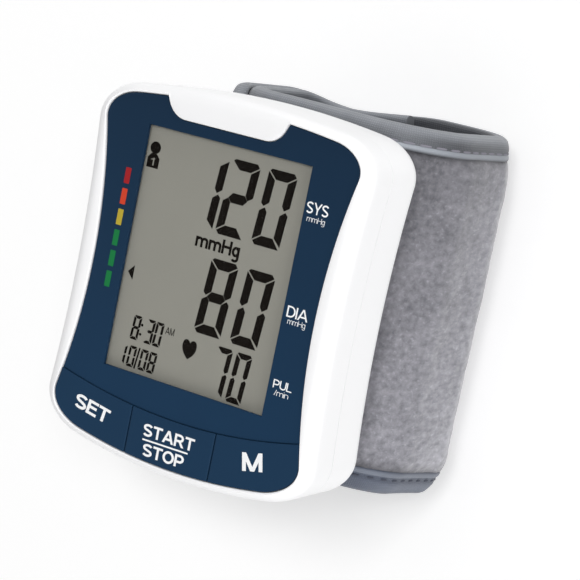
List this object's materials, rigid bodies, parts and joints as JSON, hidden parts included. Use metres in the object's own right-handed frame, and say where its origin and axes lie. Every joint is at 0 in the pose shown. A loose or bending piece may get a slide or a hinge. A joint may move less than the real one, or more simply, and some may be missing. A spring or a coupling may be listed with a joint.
{
  "type": "wrist blood pressure monitor",
  "caption": "Wrist blood pressure monitor: a waisted white case with a navy front, a display window and a curved row of keys, on a padded fleece cuff that wraps round the wrist.",
  "frame": {"origin": "on the flat back of the cuff that the monitor lies on, below the middle of the case", "axes": "+X to the right of the display, +Y to the top of the display, +Z out of the display"},
  "size_m": [0.0699, 0.0823, 0.0707],
  "materials": {
    "white_abs": "satin white moulding",
    "navy_plastic": "satin navy",
    "clear_plastic": "clear acrylic",
    "lcd_grey": "grey liquid crystal glass",
    "dark_plastic": "moulded black",
    "board_green": "solder mask",
    "bright_steel": "plated",
    "cell_jacket": "printed jacket, left plain",
    "silicone": "translucent silicone",
    "grey_rubber": "conductive rubber",
    "grey_fleece": "brushed loop fleece",
    "woven_tape": "woven binding tape",
    "smooth_lining": "smooth knit",
    "bladder_film": "welded film",
    "stiff_sheet": "moulded sheet",
    "hook_tape": "hook tape"
  },
  "bodies": {
    "monitor": {"front_shell": "white_abs", "rear_shell": "white_abs", "case_screw_1": "bright_steel", "case_screw_2": "bright_steel", "case_screw_3": "bright_steel", "case_screw_4": "bright_steel", "front_panel": "navy_plastic", "display_lens": "clear_plastic", "lcd_glass": "lcd_grey", "lcd_frame": "dark_plastic", "contact_strip_upper": "grey_rubber", "contact_strip_lower": "grey_rubber", "main_board": "board_green", "controller_chip": "dark_plastic", "set_switch": "bright_steel", "start_switch": "bright_steel", "memory_switch": "bright_steel", "battery_tray": "dark_plastic", "battery_1": "cell_jacket", "battery_2": "cell_jacket", "battery_spring_1": "bright_steel", "battery_spring_2": "bright_steel", "bridge_contact": "bright_steel", "negative_contact": "bright_steel", "positive_contact": "bright_steel", "pump_motor": "bright_steel", "pump_head": "dark_plastic", "air_manifold": "dark_plastic", "release_valve": "dark_plastic", "pressure_sensor": "stiff_sheet", "pump_tube": "silicone", "valve_tube": "silicone", "sensor_tube": "silicone", "cuff_tube": "silicone", "cuff_sleeve": "grey_fleece", "cuff_lining": "smooth_lining", "cuff_stiffener": "stiff_sheet", "air_bladder": "bladder_film", "upper_binding": "woven_tape", "lower_binding": "woven_tape"},
    "set_key": {"set_button": "navy_plastic", "set_plunger": "dark_plastic"},
    "start_key": {"start_button": "navy_plastic", "start_plunger": "dark_plastic"},
    "memory_key": {"memory_button": "navy_plastic", "memory_plunger": "dark_plastic"},
    "door": {"battery_door": "white_abs"},
    "flap": {"strap_flap": "grey_fleece", "hook_patch": "hook_tape"}
  },
  "joints": [
    {"name": "set_press", "type": "slide", "parent": "monitor", "child": "set_key", "axis": [0, 0, -1], "range_m": [0, 0.0008], "stiffness_N_per_m": 1500},
    {"name": "start_press", "type": "slide", "parent": "monitor", "child": "start_key", "axis": [0, 0, -1], "range_m": [0, 0.0008], "stiffness_N_per_m": 1500},
    {"name": "memory_press", "type": "slide", "parent": "monitor", "child": "memory_key", "axis": [0, 0, -1], "range_m": [0, 0.0008], "stiffness_N_per_m": 1500},
    {"name": "door_slide", "type": "slide", "parent": "monitor", "child": "door", "axis": [-1, 0, 0], "range_m": [0, 0.025]},
    {"name": "flap_hinge", "type": "hinge", "parent": "monitor", "child": "flap", "pos_m": [-0.0248, 0.00005, 0.016], "axis": [0, -1, 0], "range_deg": [0, 75]}
  ]
}
